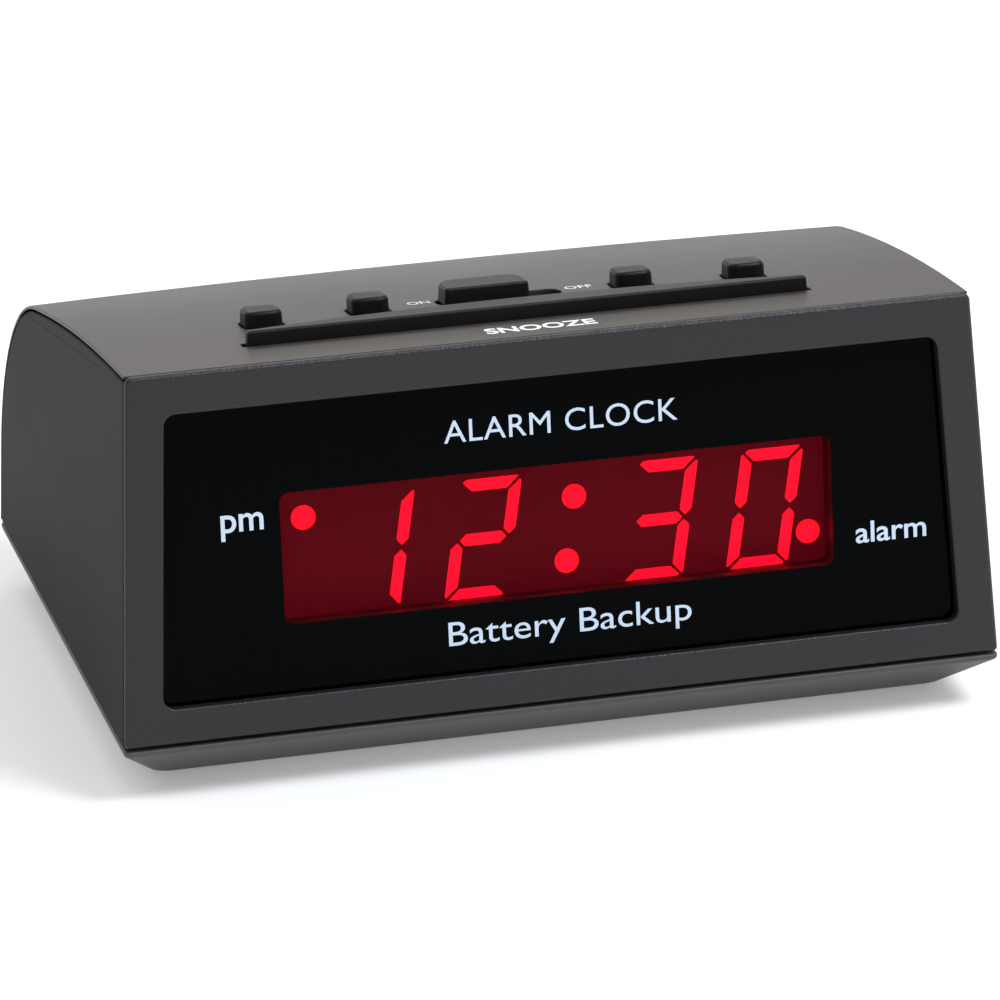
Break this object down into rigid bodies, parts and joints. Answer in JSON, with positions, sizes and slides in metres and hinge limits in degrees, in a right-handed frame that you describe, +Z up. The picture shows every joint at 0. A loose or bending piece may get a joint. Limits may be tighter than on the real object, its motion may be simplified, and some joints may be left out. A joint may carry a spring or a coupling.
{
  "type": "alarm clock",
  "caption": "Mains digital alarm clock with a leaning front, red LED display behind a black lens, a snooze bar, keys and an alarm slide switch on top.",
  "frame": {"origin": "on the table, under the middle of the case", "axes": "+X across the width, the display faces -Y, +Z up"},
  "size_m": [0.112, 0.0835, 0.0537],
  "materials": {
    "bezel_plastic": "finely grained moulded plastic, bluish dark grey",
    "lens_plastic": "polished acrylic sheet, printed black outside the red window",
    "display_shell": "matt dark moulding behind the window",
    "lit_segments": "red diffusing epoxy, lit",
    "circuit_board": "green glass-epoxy laminate",
    "cover_plastic": "satin moulded plastic, warm dark grey",
    "side_plastic": "satin moulded plastic, dark grey",
    "base_plastic": "satin moulded plastic, dark grey",
    "key_plastic": "fine matt black moulded plastic",
    "switch_plastic": "black moulded plastic",
    "plunger_plastic": "natural white nylon",
    "switch_steel": "bright nickel plate",
    "screw_steel": "zinc-plated steel",
    "foot_rubber": "matt black rubber",
    "contact_brass": "spring brass strip",
    "core_steel": "varnished steel laminations",
    "bobbin_plastic": "varnished copper winding under tape",
    "capacitor_sleeve": "shrunk plastic sleeve",
    "ribbon_plastic": "grey insulated flat cable"
  },
  "bodies": {
    "case": {"front_bezel": "bezel_plastic", "display_lens": "lens_plastic", "light_shroud": "display_shell", "led_reflector": "display_shell", "digit_1": "lit_segments", "digit_2": "lit_segments", "digit_3": "lit_segments", "digit_4": "lit_segments", "colon_upper": "lit_segments", "colon_lower": "lit_segments", "pm_dot": "lit_segments", "alarm_dot": "lit_segments", "display_board": "circuit_board", "key_board": "circuit_board", "main_board": "circuit_board", "top_cover": "cover_plastic", "side_panel_left": "side_plastic", "side_panel_right": "side_plastic", "base_cover": "base_plastic", "hour_switch": "switch_plastic", "minute_switch": "switch_plastic", "alarm_set_switch": "switch_plastic", "time_set_switch": "switch_plastic", "snooze_switch": "switch_plastic", "battery_holder": "switch_plastic", "clock_chip": "switch_plastic", "alarm_buzzer": "switch_plastic", "bridge_rectifier": "switch_plastic", "slide_switch": "switch_steel", "coin_cell": "switch_steel", "case_screw_1": "screw_steel", "case_screw_2": "screw_steel", "case_screw_3": "screw_steel", "case_screw_4": "screw_steel", "foot_front_left": "foot_rubber", "foot_front_right": "foot_rubber", "foot_rear_left": "foot_rubber", "foot_rear_right": "foot_rubber", "cord_grommet": "foot_rubber", "battery_contact": "contact_brass", "transformer_core": "core_steel", "transformer_winding": "bobbin_plastic", "filter_capacitor": "capacitor_sleeve", "display_ribbon": "ribbon_plastic"},
    "hour_key_body": {"hour_key": "key_plastic", "hour_plunger": "plunger_plastic"},
    "minute_key_body": {"minute_key": "key_plastic", "minute_plunger": "plunger_plastic"},
    "alarm_set_key_body": {"alarm_set_key": "key_plastic", "alarm_set_plunger": "plunger_plastic"},
    "time_set_key_body": {"time_set_key": "key_plastic", "time_set_plunger": "plunger_plastic"},
    "snooze_body": {"snooze_bar": "key_plastic", "snooze_plunger": "plunger_plastic"},
    "alarm_slide_body": {"alarm_slide_knob": "key_plastic", "slide_lever": "switch_plastic"},
    "battery_door_body": {"battery_door": "base_plastic"}
  },
  "joints": [
    {"name": "hour_press", "type": "slide", "parent": "case", "child": "hour_key_body", "axis": [0, -0.1652, -0.9863], "range_m": [0, 0.0008], "stiffness_N_per_m": 400},
    {"name": "minute_press", "type": "slide", "parent": "case", "child": "minute_key_body", "axis": [0, -0.1652, -0.9863], "range_m": [0, 0.0008], "stiffness_N_per_m": 400},
    {"name": "alarm_set_press", "type": "slide", "parent": "case", "child": "alarm_set_key_body", "axis": [0, -0.1652, -0.9863], "range_m": [0, 0.0008], "stiffness_N_per_m": 400},
    {"name": "time_set_press", "type": "slide", "parent": "case", "child": "time_set_key_body", "axis": [0, -0.1652, -0.9863], "range_m": [0, 0.0008], "stiffness_N_per_m": 400},
    {"name": "snooze_press", "type": "slide", "parent": "case", "child": "snooze_body", "axis": [0, -0.1652, -0.9863], "range_m": [0, 0.0008], "stiffness_N_per_m": 400},
    {"name": "alarm_slide", "type": "slide", "parent": "case", "child": "alarm_slide_body", "axis": [1, 0, 0], "range_m": [0, 0.0043]},
    {"name": "battery_door_slide", "type": "slide", "parent": "case", "child": "battery_door_body", "axis": [0, 1, 0], "range_m": [0, 0.024]}
  ]
}
